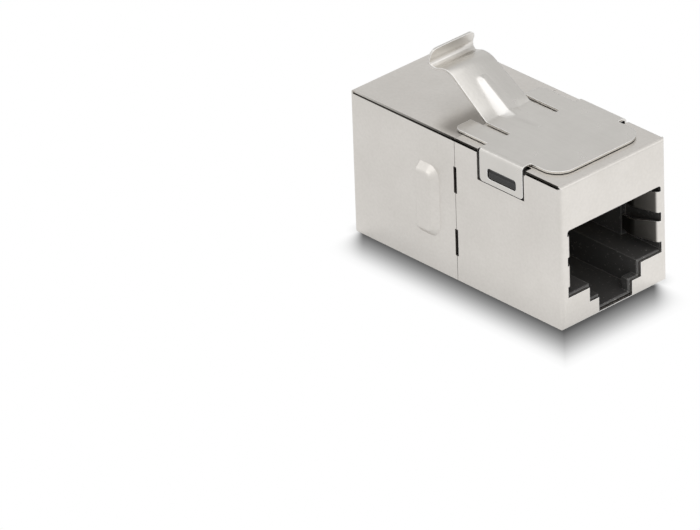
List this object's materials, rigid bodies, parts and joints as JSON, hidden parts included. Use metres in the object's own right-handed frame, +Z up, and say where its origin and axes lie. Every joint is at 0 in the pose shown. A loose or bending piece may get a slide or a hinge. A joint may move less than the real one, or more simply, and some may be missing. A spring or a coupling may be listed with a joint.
{
  "type": "rj45 inline coupler",
  "caption": "Shielded inline coupler that joins two network patch cords end to end, with a folded metal housing, a jack at each end and a sprung latch arm for a keystone opening.",
  "frame": {"origin": "middle of the housing's underside", "axes": "+X along the length towards the port at the latch plate's end, +Y across the width, +Z up towards the latch arm"},
  "size_m": [0.0306, 0.016, 0.0218],
  "materials": {
    "nickel_plate": "satin nickel plating on thin spring and shielding sheet",
    "black_plastic": "moulded black, fine matt",
    "circuit_laminate": "black solder mask on glass laminate",
    "gold_contact": "thin gold plating on spring bronze"
  },
  "bodies": {
    "root": {"front_shell": "nickel_plate", "rear_shell": "nickel_plate", "latch_clip": "nickel_plate", "front_jack_body": "black_plastic", "rear_jack_body": "black_plastic", "front_contact_carrier": "black_plastic", "rear_contact_carrier": "black_plastic", "circuit_board": "circuit_laminate", "front_contact_1": "gold_contact", "front_contact_2": "gold_contact", "front_contact_3": "gold_contact", "front_contact_4": "gold_contact", "front_contact_5": "gold_contact", "front_contact_6": "gold_contact", "front_contact_7": "gold_contact", "front_contact_8": "gold_contact", "rear_contact_1": "gold_contact", "rear_contact_2": "gold_contact", "rear_contact_3": "gold_contact", "rear_contact_4": "gold_contact", "rear_contact_5": "gold_contact", "rear_contact_6": "gold_contact", "rear_contact_7": "gold_contact", "rear_contact_8": "gold_contact"}
  },
  "joints": []
}
